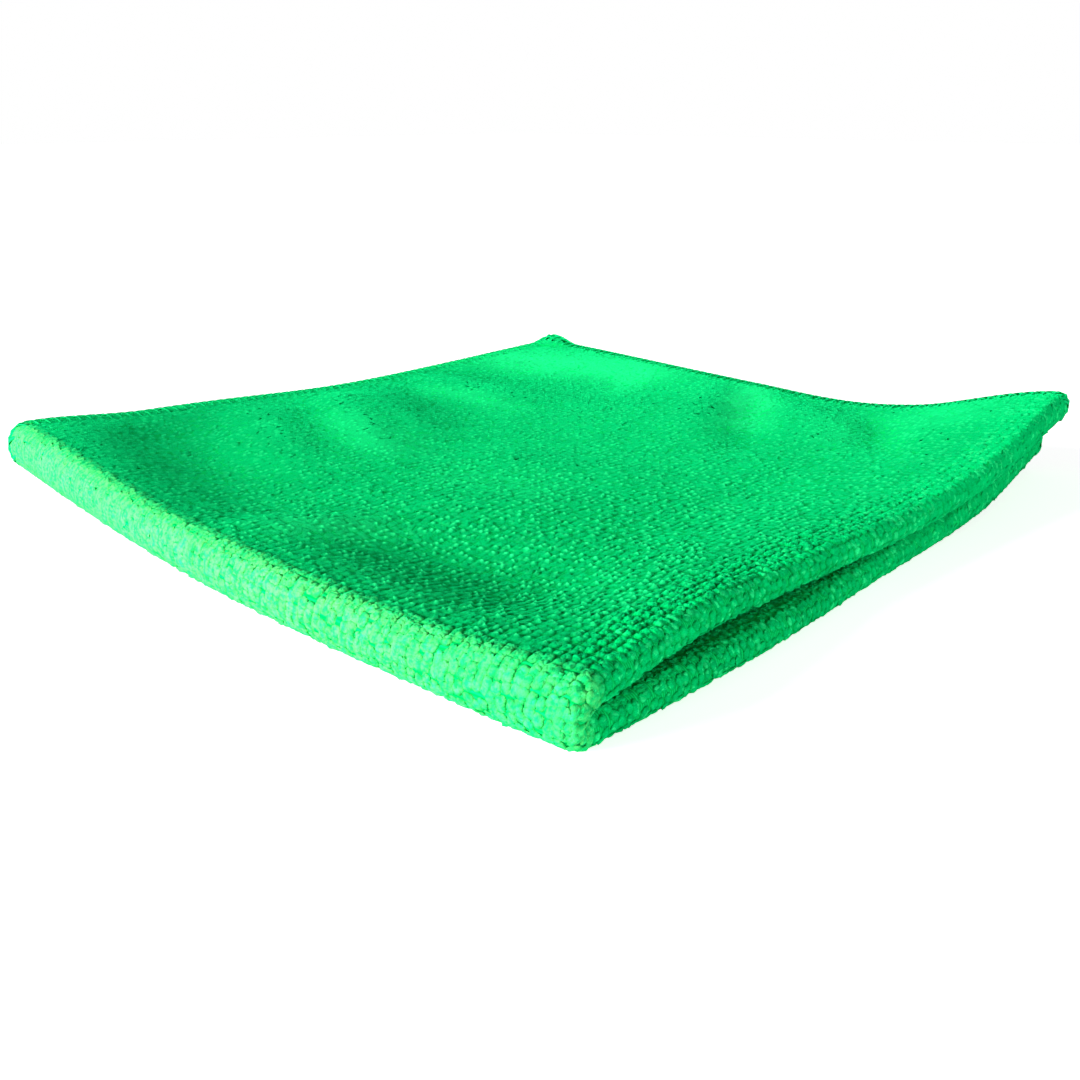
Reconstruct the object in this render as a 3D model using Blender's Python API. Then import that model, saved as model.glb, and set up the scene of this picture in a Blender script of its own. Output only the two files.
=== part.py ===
"""A square microfibre cloth, folded in half twice and laid flat.

Metres, +Z up. The cloth is one cut square of warp knit with a narrow overlocked hem.
The first fold puts a crease along the right side (+X), the second one wraps both layers
round a crease along the front side (-Y), so four layers lie on each other: a lower pair
and an upper pair. The origin is on the surface, under the middle of the folded bundle.

The flat square is laid out as a grid, finer where it will bend, and every grid point is
carried through the two folds. The sides and the top are then pushed out and lifted by
short tables, because a cloth folded by hand never lies true.
"""

from collections import namedtuple

import bpy
import numpy as np

MM = 0.001

# ------------------------------------------------------------------ the flat cloth
THICKNESS = 1.8 * MM            # one layer, with its pile
OUTER_LENGTH = 194.0 * MM       # first crease to hem, in the two outer layers
INNER_LENGTH = 198.0 * MM       # first crease to hem, in the two layers inside
UPPER_WIDTH = 200.0 * MM        # second crease to hem, in the upper pair
LOWER_WIDTH = 200.0 * MM        # second crease to hem, in the lower pair

# ------------------------------------------------------------------ the two folds
# radius: middle of the cloth round the crease; spacing: half the distance between the
# middles of what lies on each other; settle: how far behind the crease it lies close
Fold = namedtuple("Fold", "radius spacing settle")
FIRST = Fold(radius=2.15 * MM, spacing=1.18 * MM, settle=40 * MM)
SECOND = Fold(radius=3.38 * MM, spacing=2.36 * MM, settle=34 * MM)

# ------------------------------------------------------------------ grid
FIRST_BEND_CELLS = 10
SECOND_BEND_CELLS = 14
FLAT_CELLS = 17
CELL_GROWTH = 1.25              # cells widen away from the crease

# ------------------------------------------------------------------ unevenness, in mm
# along: 0 to 1 along the side; lower_out, upper_out: how far the lower and the upper pair
# stand out there; lift: how far the upper pair lies above a tight stack
Side = namedtuple("Side", "along lower_out upper_out lift")
RIGHT_SIDE = (                  # first crease, from the front corner to the right corner
    Side(0.00, 2.1, 3.9, 0.8),
    Side(0.25, 2.6, -0.9, 0.1),
    Side(0.50, 0.0, 0.6, 0.3),
    Side(0.75, -1.4, 1.9, 0.9),
    Side(1.00, -9.3, -3.8, 2.1),
)
FRONT_SIDE = (                  # second crease, from the left corner to the front corner
    Side(0.00, -3.0, -3.0, 1.3),
    Side(0.25, 1.2, 1.2, 1.0),
    Side(0.50, 2.6, 2.6, 0.9),
    Side(0.75, 0.6, 0.6, 1.1),
    Side(1.00, -2.9, -2.9, 1.5),
)
BACK_SIDE = (                   # hems, from the back corner to the right corner
    Side(0.00, 2.6, 1.3, 2.0),
    Side(0.25, 1.0, 0.3, 2.1),
    Side(0.50, 1.0, -0.8, 1.9),
    Side(0.75, 0.2, -1.3, 0.9),
    Side(1.00, 1.5, 1.5, 10.6),
)
LEFT_SIDE = (                   # hems, from the left corner to the back corner
    Side(0.00, 1.4, 1.4, 2.4),
    Side(0.25, 0.9, -0.1, 1.7),
    Side(0.50, -0.2, -1.1, 0.7),
    Side(0.75, 0.3, -1.5, 2.3),
    Side(1.00, -0.6, -1.5, 4.8),
)

# Corners that curl off the surface with all their layers; reach is a share of a side
Corner = namedtuple("Corner", "across along reach lift")
CURLED_CORNERS = (
    Corner(across=0, along=0, reach=0.8, lift=4.0),     # left
    Corner(across=1, along=1, reach=0.5, lift=3.9),     # right
    Corner(across=0, along=1, reach=0.08, lift=1.2),    # back
)

# Soft ridges across the top: middle, length, width and height in mm, turn in degrees
Ridge = namedtuple("Ridge", "x y length width turn height")
TOP_RIDGES = (                  # a height below zero is a trough
    Ridge(0, 0, 180, 180, 0, 1.0),          # the whole top, a little puffed up
    Ridge(-62, -43, 60, 17, -22, 0.9),      # left edge, from the front to the back
    Ridge(-60, -20, 78, 15, -21, 1.8),
    Ridge(-62, -6, 82, 21, -19, 1.9),
    Ridge(-66, 31, 56, 20, 2, 1.4),
    Ridge(-58, 62, 90, 48, 27, -2.2),
    Ridge(2, 64, 56, 18, -63, 1.5),         # back edge, from the left to the right
    Ridge(23, 58, 56, 15, -63, -1.4),
    Ridge(36, 66, 50, 18, -57, 0.8),
    Ridge(57, 70, 66, 14, -59, -1.6),
    Ridge(-48, -74, 100, 29, -10, -2.3),    # behind the second crease
    Ridge(-86, -50, 44, 26, -30, -1.3),
    Ridge(46, -71, 60, 30, 2, -2.3),
    Ridge(6, -80, 30, 13, 60, 1.0),
    Ridge(12, -10, 46, 22, 24, 0.8),        # faint creases across the middle
    Ridge(24, -42, 50, 24, 55, 0.7),
    Ridge(97, -66, 36, 16, 90, 1.0),        # on the first crease
)
RIDGE_FADE = 0.10               # ridges flatten out this share of a side before the hems

# How much of a top ridge or lift each layer takes, and how far the lowest layers follow
INSIDE_UPPER_SHARE = 0.7
INSIDE_LOWER_SHARE = 0.35

CLOTH_GREEN = (0.005, 0.60, 0.15, 1.0)
CLOTH_ROUGHNESS = 0.9


def smooth(x):
    """0 to 1 with a soft start and a soft end."""
    x = np.clip(x, 0, 1)
    return x * x * (3 - 2 * x)


def between(share, low, high):
    return (1 - share) * low + share * high


def read_side(side, column, along):
    """A soft curve through one column of a side's table, in metres."""
    places = np.array([row.along for row in side])
    values = np.array([getattr(row, column) for row in side]) * MM
    slopes = np.gradient(values, places)
    i = np.clip(np.searchsorted(places, along, side="right") - 1, 0, len(side) - 2)
    step = places[i + 1] - places[i]
    u = (along - places[i]) / step
    return (
        (2 * u**3 - 3 * u**2 + 1) * values[i]
        + (u**3 - 2 * u**2 + u) * step * slopes[i]
        + (3 * u**2 - 2 * u**3) * values[i + 1]
        + (u**3 - u**2) * step * slopes[i + 1]
    )


def cuts(fold, lower_length, upper_length, bend_cells):
    """Grid lines across one crease: even round the bend, then wider towards both hems."""
    quarter_turn = np.pi / 2 * fold.radius
    bend = np.linspace(-quarter_turn, quarter_turn, bend_cells + 1)
    share = (np.arange(1, FLAT_CELLS + 1) / FLAT_CELLS) ** CELL_GROWTH
    lower = -(quarter_turn + (lower_length - quarter_turn) * share[::-1])
    upper = quarter_turn + (upper_length - quarter_turn) * share
    return np.concatenate([lower, bend, upper])


def bend(fold, distance):
    """Where cloth lies that is `distance` from the crease, measured along the cloth.

    Gives the angle turned (0 at the crease, a quarter turn where it runs straight), the
    straight run past the bend, the depth behind the crease, and how much of the bend's
    swelling is left there.
    """
    quarter_turn = np.pi / 2 * fold.radius
    reach = np.abs(distance)
    turned = np.minimum(reach, quarter_turn) / fold.radius
    run = np.maximum(reach - quarter_turn, 0)
    depth = fold.radius * (1 - np.cos(turned)) + run
    swelling = 1 - smooth(run / fold.settle)
    return turned, depth, swelling


def fold_cloth(u, v):
    """Folds the flat cloth. u runs across the first crease, v across the second.

    Gives x, y, z and two shares: `up` (0 lower pair, 1 upper pair) and `outer`
    (0 layers inside, 1 outer layers).
    """
    turned, depth, swelling = bend(FIRST, u)
    pair_gap = between(swelling, FIRST.spacing, FIRST.radius)
    off_middle = np.sign(u) * pair_gap * np.sin(turned)
    outer = smooth(0.5 + 0.5 * np.sign(u) * np.sin(turned))
    x = OUTER_LENGTH / 2 - depth

    turned, depth, swelling = bend(SECOND, v)
    spacing = between(swelling, SECOND.spacing + pair_gap - FIRST.spacing, SECOND.radius)
    side = np.sign(v) * np.sin(turned)
    up = smooth((1 + side) / 2)
    lower_middle = THICKNESS / 2 + pair_gap
    middle = lower_middle + spacing * (1 + side)
    y = -UPPER_WIDTH / 2 + depth - off_middle * np.cos(turned)
    z = middle + off_middle * side
    return x, y, z, up, outer


def side_lift(side, along, nearness):
    """The lift of one side, fading to the middle, and halved where two sides meet."""
    fade = smooth(2 * nearness - 1)
    ends = (1 - 0.5 * smooth(2 * along - 1)) * (1 - 0.5 * smooth(1 - 2 * along))
    return fade * ends * read_side(side, "lift", along)


def ridge_height(ridge, x, y):
    """A soft ridge, highest along its middle line and gone at its ends."""
    turn = np.radians(ridge.turn)
    dx, dy = x - ridge.x * MM, y - ridge.y * MM
    along = (dx * np.cos(turn) + dy * np.sin(turn)) / (ridge.length * MM / 2)
    across = (dy * np.cos(turn) - dx * np.sin(turn)) / (ridge.width * MM / 2)
    return ridge.height * MM * np.exp(-across**2) * np.exp(-along**4)


def make_uneven(x, y, z, up, outer):
    """Pushes the sides out, lifts the top, and curls the corners."""
    across = np.clip(x / OUTER_LENGTH + 0.5, 0, 1)
    along = np.clip(y / UPPER_WIDTH + 0.5, 0, 1)

    def out(side, place):
        return between(up, read_side(side, "lower_out", place), read_side(side, "upper_out", place))

    new_x = x + across**2 * out(RIGHT_SIDE, along) - (1 - across) ** 2 * out(LEFT_SIDE, along)
    new_y = y + along**2 * out(BACK_SIDE, across) - (1 - along) ** 2 * out(FRONT_SIDE, across)

    lift = (
        side_lift(BACK_SIDE, across, along)
        + side_lift(LEFT_SIDE, along, 1 - across)
        + side_lift(RIGHT_SIDE, along, across)
        + side_lift(FRONT_SIDE, across, 1 - along)
    )
    inside = smooth(across / RIDGE_FADE) * smooth((1 - along) / RIDGE_FADE)
    for ridge in TOP_RIDGES:
        lift = lift + inside * ridge_height(ridge, x, y)
    upper_share = between(outer, INSIDE_UPPER_SHARE, 1)
    lower_share = between(outer, INSIDE_LOWER_SHARE, 0)
    new_z = z + between(up, lower_share, upper_share) * lift

    for corner in CURLED_CORNERS:
        distance = np.hypot(across - corner.across, along - corner.along)
        new_z = new_z + corner.lift * MM * smooth(1 - distance / corner.reach)
    return new_x, new_y, new_z


def cloth_points():
    """The middle of the cloth after folding: one row of points for each cut along u."""
    u = cuts(FIRST, INNER_LENGTH, OUTER_LENGTH, FIRST_BEND_CELLS)
    v = cuts(SECOND, LOWER_WIDTH, UPPER_WIDTH, SECOND_BEND_CELLS)
    grid_u, grid_v = np.meshgrid(u, v, indexing="ij")
    return np.stack(make_uneven(*fold_cloth(grid_u, grid_v)), axis=-1)


def green_microfibre():
    material = bpy.data.materials.new("green_microfibre")
    material.use_nodes = True
    surface = material.node_tree.nodes["Principled BSDF"]
    surface.inputs["Base Color"].default_value = CLOTH_GREEN
    surface.inputs["Roughness"].default_value = CLOTH_ROUGHNESS
    surface.inputs["Metallic"].default_value = 0.0
    material.diffuse_color = CLOTH_GREEN
    return material


def folded_cloth():
    """One closed solid: the folded grid, thickened to both sides of its middle."""
    points = cloth_points()
    rows, columns = points.shape[:2]
    faces = [
        (r * columns + c, (r + 1) * columns + c, (r + 1) * columns + c + 1, r * columns + c + 1)
        for r in range(rows - 1)
        for c in range(columns - 1)
    ]
    mesh = bpy.data.meshes.new("folded_cloth")
    mesh.from_pydata(points.reshape(-1, 3).tolist(), [], faces)
    mesh.materials.append(green_microfibre())
    cloth = bpy.data.objects.new("folded_cloth", mesh)
    bpy.context.collection.objects.link(cloth)

    wall = cloth.modifiers.new("thickness", "SOLIDIFY")
    wall.thickness = THICKNESS
    wall.offset = 0.0
    wall.use_even_offset = True
    bpy.context.view_layer.objects.active = cloth
    bpy.ops.object.modifier_apply(modifier=wall.name)

    corners = np.array([vertex.co for vertex in cloth.data.vertices])
    low, high = corners.min(axis=0), corners.max(axis=0)
    middle = np.array([(low[0] + high[0]) / 2, (low[1] + high[1]) / 2, low[2]])
    for vertex, corner in zip(cloth.data.vertices, corners):
        vertex.co = corner - middle
    cloth.data.shade_smooth()
    return cloth


for leftover in list(bpy.data.objects):
    bpy.data.objects.remove(leftover, do_unlink=True)
folded_cloth()
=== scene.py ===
# %% [markdown]
# # A microfibre cloth, folded in half twice
#
# The object is a square of warp-knit microfibre, about 400 mm a side, folded in half and
# in half again. Four layers lie on each other. The first crease is on the right of the
# view, where two folded pairs show as two rounded lips. The second crease is on the left,
# where one broad fold wraps all four layers. The hems are behind.
#
# Two ways would give the shape: a cloth simulation of the folding, or the folds written
# down as a rule. The rule was chosen, because a hairpin in 2 mm cloth is hard to simulate
# and easy to write: round the crease the cloth runs on a half circle, and behind it the
# layers settle on each other. The same rule carries the knit, stitch by stitch.

from collections import namedtuple
from math import pi, radians

import bpy
import numpy as np
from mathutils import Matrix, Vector


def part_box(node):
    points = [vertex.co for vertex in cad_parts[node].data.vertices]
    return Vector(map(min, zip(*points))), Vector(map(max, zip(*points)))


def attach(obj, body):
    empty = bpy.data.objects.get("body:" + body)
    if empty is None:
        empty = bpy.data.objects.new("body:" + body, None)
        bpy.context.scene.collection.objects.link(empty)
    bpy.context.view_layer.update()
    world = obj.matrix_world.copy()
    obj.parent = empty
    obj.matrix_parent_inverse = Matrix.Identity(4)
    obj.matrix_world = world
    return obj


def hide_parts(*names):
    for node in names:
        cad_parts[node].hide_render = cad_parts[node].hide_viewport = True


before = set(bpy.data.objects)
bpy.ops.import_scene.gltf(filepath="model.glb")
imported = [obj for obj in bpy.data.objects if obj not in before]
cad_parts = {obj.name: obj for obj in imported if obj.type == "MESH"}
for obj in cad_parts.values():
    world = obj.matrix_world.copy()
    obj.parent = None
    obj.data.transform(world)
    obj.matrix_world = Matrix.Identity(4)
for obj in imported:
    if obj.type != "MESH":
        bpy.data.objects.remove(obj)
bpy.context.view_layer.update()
MM = 0.001

# %% [markdown]
# ## Three small helpers
#
# Colours are written as they look on a screen, in sRGB hex. Blender's shaders work with
# light, so one function turns each hex value to linear. The next adds a shader node: its
# settings and the values or links of its inputs are given in one call. The last starts a
# material.

# %% Colour and node helpers


def linear(hex_colour, alpha=1.0):
    """The linear colour of an sRGB hex value, as a shader wants it."""
    channels = [int(hex_colour[i : i + 2], 16) / 255 for i in (1, 3, 5)]
    return (*[c / 12.92 if c <= 0.04045 else ((c + 0.055) / 1.055) ** 2.4 for c in channels], alpha)


def add(tree, kind, settings=None, inputs=None):
    """Adds one node. An input takes a value, or another node's output as a link."""
    node = tree.nodes.new(kind)
    for name, value in (settings or {}).items():
        setattr(node, name, value)
    for name, value in (inputs or {}).items():
        if isinstance(value, bpy.types.NodeSocket):
            tree.links.new(value, node.inputs[name])
        else:
            node.inputs[name].default_value = value
    return node


def new_material(name):
    """An empty material, its node tree and its Principled shader."""
    material = bpy.data.materials.new(name)
    material.use_nodes = True
    return material, material.node_tree, material.node_tree.nodes["Principled BSDF"]


# %% [markdown]
# ## The camera
#
# The view is from just in front of the corner between the two creases, about 20 degrees
# above the surface and close enough for strong perspective. The place, the turn and the
# focal length were found by matching the outline of the solid to the picture.

# %% Camera
CAMERA_PLACE = Vector((200.8, -208.2, 92.6)) * MM
CAMERA_DOWN = radians(20.5)
CAMERA_TURN = radians(44.1)
FOCAL_LENGTH_MM = 38.6
SENSOR_MM = 36.0

camera_data = bpy.data.cameras.new("camera")
camera_data.lens = FOCAL_LENGTH_MM
camera_data.sensor_width = SENSOR_MM
camera_data.clip_start = 0.01
camera = bpy.data.objects.new("camera", camera_data)
camera.location = CAMERA_PLACE
camera.rotation_euler = (pi / 2 - CAMERA_DOWN, 0, CAMERA_TURN)
bpy.context.collection.objects.link(camera)
bpy.context.scene.camera = camera
print("camera at", tuple(round(c, 4) for c in camera.location))

# %% [markdown]
# ## Floor and light
#
# A pale floor, a surround that is white to the camera and weak on the cloth, one large
# soft lamp low on the left, and a weaker one on the right. The first is bright on the
# broad fold and rakes the top, so that each soft dent in it shows. The second keeps the
# two lips on the right from going dark.

# %% Floor and light
FLOOR_SIZE = 6.0
FLOOR_GLOW = 0.70               # this much white is added where the camera sees the paper
SURROUND_STRENGTH = 0.17
KEY_FROM = Vector((-0.45, -1.0, 0.25))
KEY_STRENGTH = 9.2
KEY_SOFTNESS = radians(28)
FILL_FROM = Vector((1.0, -0.2, 0.17))
FILL_STRENGTH = 2.6
FILL_SOFTNESS = radians(15)

bpy.context.scene.view_settings.view_transform = "Standard"

bpy.ops.object.select_all(action="DESELECT")
bpy.ops.mesh.primitive_plane_add(size=FLOOR_SIZE, location=(0, 0, 0))
floor = bpy.context.object
floor.name = "floor"
paper, tree, surface = new_material("white_paper")
surface.inputs["Base Color"].default_value = linear("#F7F8F8")
surface.inputs["Roughness"].default_value = 0.9
surface.inputs["Specular IOR Level"].default_value = 0.1
glow = add(tree, "ShaderNodeEmission", inputs={"Color": (1, 1, 1, 1), "Strength": FLOOR_GLOW})
lit = add(tree, "ShaderNodeAddShader", inputs={0: surface.outputs[0], 1: glow.outputs[0]})
seen = add(tree, "ShaderNodeLightPath")
either = add(tree, "ShaderNodeMixShader", inputs={0: seen.outputs["Is Camera Ray"]})
tree.links.new(surface.outputs[0], either.inputs[1])
tree.links.new(lit.outputs[0], either.inputs[2])
tree.links.new(either.outputs[0], tree.nodes["Material Output"].inputs["Surface"])
floor.data.materials.append(paper)

world = bpy.data.worlds.new("surround")
bpy.context.scene.world = world
world.use_nodes = True
tree = world.node_tree
surround = tree.nodes["Background"]
surround.inputs["Color"].default_value = (1, 1, 1, 1)
surround.inputs["Strength"].default_value = SURROUND_STRENGTH
backdrop = add(tree, "ShaderNodeBackground", inputs={"Color": (1, 1, 1, 1), "Strength": 1.0})
seen = add(tree, "ShaderNodeLightPath")
either = add(tree, "ShaderNodeMixShader", inputs={0: seen.outputs["Is Camera Ray"]})
tree.links.new(surround.outputs[0], either.inputs[1])
tree.links.new(backdrop.outputs[0], either.inputs[2])
tree.links.new(either.outputs[0], tree.nodes["World Output"].inputs["Surface"])


def add_lamp(name, comes_from, strength, softness):
    """A far soft lamp: its direction, its strength and how wide it looks."""
    data = bpy.data.lights.new(name, "SUN")
    data.energy = strength
    data.angle = softness
    lamp = bpy.data.objects.new(name, data)
    lamp.location = comes_from.normalized()
    lamp.rotation_euler = (-comes_from).to_track_quat("-Z", "Y").to_euler()
    bpy.context.collection.objects.link(lamp)


add_lamp("key", KEY_FROM, KEY_STRENGTH, KEY_SOFTNESS)
add_lamp("fill", FILL_FROM, FILL_STRENGTH, FILL_SOFTNESS)
print("floor", FLOOR_SIZE, "m wide, key lamp", KEY_STRENGTH, "and fill lamp", FILL_STRENGTH)

# %% [markdown]
# ## Sizes of the cloth
#
# The driving sizes are those of the solid. `radius` is the middle of the cloth round a
# crease, `spacing` is half the distance between the middles of what lies on each other,
# and `settle` is how far behind the crease the layers come to rest. Small tables say how
# far each side stands out and lifts at five places along it, in millimetres, because a
# cloth folded by hand never lies true. The ridges and troughs are the soft creases on the
# top. They are the solid's, but for four of them, the share of a side that they fade over,
# and the back corner, which are tuned a little further here. The patches are painted
# light and shade: there the pile's colour is made lighter or darker, with no change of
# height, for broad light and dark on the top that the soft creases alone don't give.

# %% Sizes and tables
THICKNESS = 1.8 * MM
OUTER_LENGTH = 194.0 * MM
INNER_LENGTH = 198.0 * MM
UPPER_WIDTH = 200.0 * MM
LOWER_WIDTH = 200.0 * MM

Fold = namedtuple("Fold", "radius spacing settle")
FIRST = Fold(radius=2.15 * MM, spacing=1.18 * MM, settle=40 * MM)
SECOND = Fold(radius=3.38 * MM, spacing=2.36 * MM, settle=34 * MM)

Side = namedtuple("Side", "along lower_out upper_out lift")
RIGHT_SIDE = (                  # first crease, from the front corner to the right corner
    Side(0.00, 2.1, 3.9, 0.8),
    Side(0.25, 2.6, -0.9, 0.1),
    Side(0.50, 0.0, 0.6, 0.3),
    Side(0.75, -1.4, 1.9, 0.9),
    Side(1.00, -9.3, -3.8, 2.1),
)
FRONT_SIDE = (                  # second crease, from the left corner to the front corner
    Side(0.00, -3.0, -3.0, 1.3),
    Side(0.25, 1.2, 1.2, 1.0),
    Side(0.50, 2.6, 2.6, 0.9),
    Side(0.75, 0.6, 0.6, 1.1),
    Side(1.00, -2.9, -2.9, 1.5),
)
BACK_SIDE = (                   # hems, from the back corner to the right corner
    Side(0.00, 2.6, 1.3, 2.0),
    Side(0.25, 1.0, 0.3, 2.1),
    Side(0.50, 1.0, -0.8, 1.9),
    Side(0.75, 0.2, -1.3, 0.9),
    Side(1.00, 1.5, 1.5, 10.6),
)
LEFT_SIDE = (                   # hems, from the left corner to the back corner
    Side(0.00, 1.4, 1.4, 2.4),
    Side(0.25, 0.9, -0.1, 1.7),
    Side(0.50, -0.2, -1.1, 0.7),
    Side(0.75, 0.3, -1.5, 2.3),
    Side(1.00, -0.6, -1.5, 4.8),
)

Corner = namedtuple("Corner", "across along reach lift")
CURLED_CORNERS = (
    Corner(across=0, along=0, reach=0.8, lift=4.0),         # left
    Corner(across=1, along=1, reach=0.5, lift=3.9),         # right
    Corner(across=0.025, along=1, reach=0.06, lift=2.4),    # back
)

Ridge = namedtuple("Ridge", "x y length width turn height")
TOP_RIDGES = (                  # a height below zero is a trough
    Ridge(0, 0, 180, 180, 0, 1.0),          # the whole top, a little puffed up
    Ridge(-62, -43, 60, 17, -22, 0.9),      # left edge, from the front to the back
    Ridge(-58, -20, 74, 15, -21, 1.6),
    Ridge(-60, -6, 76, 21, -19, 1.6),
    Ridge(-66, 31, 56, 20, 2, 1.4),
    Ridge(-58, 62, 90, 48, 27, -2.2),
    Ridge(2, 64, 56, 18, -63, 1.2),         # back edge, from the left to the right
    Ridge(23, 58, 56, 15, -63, -1.1),
    Ridge(36, 66, 50, 18, -57, 0.8),
    Ridge(57, 70, 66, 14, -59, -1.6),
    Ridge(-48, -74, 100, 29, -10, -2.3),    # behind the second crease
    Ridge(-86, -50, 44, 26, -30, -1.3),
    Ridge(46, -71, 60, 30, 2, -2.3),
    Ridge(6, -80, 30, 13, 60, 1.0),
    Ridge(12, -10, 46, 22, 24, 0.8),        # faint creases across the middle
    Ridge(24, -42, 50, 24, 55, 0.7),
    Ridge(97, -66, 36, 16, 90, 1.0),        # on the first crease
)
RIDGE_FADE = 0.14               # ridges flatten out this share of a side before the hems

# Patches of painted light (lighter above zero) and painted shade (below zero): places in mm
Patch = namedtuple("Patch", "x y length width turn lighter")
PAINTED_PATCHES = (
    Patch(-64, 81, 84, 36, 24, 1.0),        # the back corner and the back edge
    Patch(-35, 74, 40, 14, -58, 0.5),
    Patch(6, 86, 30, 14, -60, 1.1),
    Patch(17, 67, 36, 14, -63, 1.0),
    Patch(48, 66, 40, 16, -60, 0.3),
    Patch(30, 87, 16, 12, 0, -0.45),
    Patch(72, 84, 38, 30, -50, 0.4),
    Patch(-50, 49, 56, 18, 0, -0.4),        # the left half, from the back to the front
    Patch(-80, 38, 30, 24, 0, -0.5),
    Patch(-86, 16, 20, 28, 0, -0.4),
    Patch(-56, 22, 48, 14, 4, 0.5),
    Patch(-2, 57, 30, 18, -50, -0.4),
    Patch(-66, 6, 50, 18, -10, -0.9),
    Patch(-48, -6, 34, 14, -14, -0.4),
    Patch(-78, -32, 34, 14, -20, -0.6),
    Patch(-78, -58, 50, 30, -35, -0.5),
    Patch(-38, -28, 44, 22, -14, 0.4),
    Patch(-60, -80, 42, 18, -8, -0.45),
    Patch(48, 38, 50, 16, -20, -0.35),      # the right half
    Patch(84, 20, 28, 150, 0, -0.25),
    Patch(6, -6, 30, 12, 22, -0.35),
    Patch(14, -30, 40, 18, 20, 0.3),
    Patch(12, -76, 28, 15, 60, 0.6),
    Patch(46, -87, 44, 12, 0, 0.35),
)
CALM_START = 45 * MM            # this far from the front corner the pile starts to lie calmer
CALM_REACH = 125 * MM           # and it is calm after this much more
INSIDE_UPPER_SHARE = 0.7        # how much of the top's lift the inner layers take
INSIDE_LOWER_SHARE = 0.35
print(len(TOP_RIDGES), "ridges and troughs,", len(PAINTED_PATCHES), "patches of painted light and shade")

# %% [markdown]
# ## The fold as a rule
#
# `fold_cloth` carries a flat place (u, v) of the cloth through both folds. u runs across
# the first crease and v across the second. `make_uneven` then pushes out the sides, lifts
# the top and curls three corners. Both take whole arrays, so thousands of places fold at
# once.

# %% Folding


def smooth(x):
    """0 to 1 with a soft start and a soft end."""
    x = np.clip(x, 0, 1)
    return x * x * (3 - 2 * x)


def between(share, low, high):
    return (1 - share) * low + share * high


def read_side(side, column, along):
    """A soft curve through one column of a side's table, in metres."""
    places = np.array([row.along for row in side])
    values = np.array([getattr(row, column) for row in side]) * MM
    slopes = np.gradient(values, places)
    i = np.clip(np.searchsorted(places, along, side="right") - 1, 0, len(side) - 2)
    step = places[i + 1] - places[i]
    u = (along - places[i]) / step
    return (
        (2 * u**3 - 3 * u**2 + 1) * values[i]
        + (u**3 - 2 * u**2 + u) * step * slopes[i]
        + (3 * u**2 - 2 * u**3) * values[i + 1]
        + (u**3 - u**2) * step * slopes[i + 1]
    )


def bend(fold, distance):
    """Angle turned, depth behind the crease and swelling left, at a distance from it."""
    quarter_turn = pi / 2 * fold.radius
    reach = np.abs(distance)
    turned = np.minimum(reach, quarter_turn) / fold.radius
    run = np.maximum(reach - quarter_turn, 0)
    depth = fold.radius * (1 - np.cos(turned)) + run
    return turned, depth, 1 - smooth(run / fold.settle)


def fold_cloth(u, v):
    """x, y, z, and the shares `up` (upper pair) and `outer` (outer layers)."""
    turned, depth, swelling = bend(FIRST, u)
    pair_gap = between(swelling, FIRST.spacing, FIRST.radius)
    off_middle = np.sign(u) * pair_gap * np.sin(turned)
    outer = smooth(0.5 + 0.5 * np.sign(u) * np.sin(turned))
    x = OUTER_LENGTH / 2 - depth

    turned, depth, swelling = bend(SECOND, v)
    spacing = between(swelling, SECOND.spacing + pair_gap - FIRST.spacing, SECOND.radius)
    side = np.sign(v) * np.sin(turned)
    up = smooth((1 + side) / 2)
    middle = THICKNESS / 2 + pair_gap + spacing * (1 + side)
    y = -UPPER_WIDTH / 2 + depth - off_middle * np.cos(turned)
    return x, y, middle + off_middle * side, up, outer


def side_lift(side, along, nearness):
    """The lift of one side, fading to the middle, and halved where two sides meet."""
    fade = smooth(2 * nearness - 1)
    ends = (1 - 0.5 * smooth(2 * along - 1)) * (1 - 0.5 * smooth(1 - 2 * along))
    return fade * ends * read_side(side, "lift", along)


def soft_oval(row, x, y):
    """1 along the middle line of a ridge or a patch, and fading out round its rim."""
    turn = np.radians(row.turn)
    dx, dy = x - row.x * MM, y - row.y * MM
    along = (dx * np.cos(turn) + dy * np.sin(turn)) / (row.length * MM / 2)
    across = (dy * np.cos(turn) - dx * np.sin(turn)) / (row.width * MM / 2)
    return np.exp(-across**2) * np.exp(-along**4)


def make_uneven(x, y, z, up, outer):
    """Pushes the sides out, lifts the top, and curls the corners."""
    across = np.clip(x / OUTER_LENGTH + 0.5, 0, 1)
    along = np.clip(y / UPPER_WIDTH + 0.5, 0, 1)

    def out(side, place):
        return between(up, read_side(side, "lower_out", place), read_side(side, "upper_out", place))

    new_x = x + across**2 * out(RIGHT_SIDE, along) - (1 - across) ** 2 * out(LEFT_SIDE, along)
    new_y = y + along**2 * out(BACK_SIDE, across) - (1 - along) ** 2 * out(FRONT_SIDE, across)

    lift = (
        side_lift(BACK_SIDE, across, along)
        + side_lift(LEFT_SIDE, along, 1 - across)
        + side_lift(RIGHT_SIDE, along, across)
        + side_lift(FRONT_SIDE, across, 1 - along)
    )
    inside = smooth(across / RIDGE_FADE) * smooth((1 - along) / RIDGE_FADE)
    for ridge in TOP_RIDGES:
        lift = lift + inside * ridge.height * MM * soft_oval(ridge, x, y)
    upper_share = between(outer, INSIDE_UPPER_SHARE, 1)
    lower_share = between(outer, INSIDE_LOWER_SHARE, 0)
    new_z = z + between(up, lower_share, upper_share) * lift

    for corner in CURLED_CORNERS:
        distance = np.hypot(across - corner.across, along - corner.along)
        new_z = new_z + corner.lift * MM * smooth(1 - distance / corner.reach)
    return new_x, new_y, new_z


# %% [markdown]
# ## Places and directions on the cloth
#
# Every thread needs a place on the folded cloth and three directions there: across the
# wales, along the wales, and out of the face. They come from the rule itself, by looking
# a hair's breadth to each side. The whole is then moved so that its box is the solid's.

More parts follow.
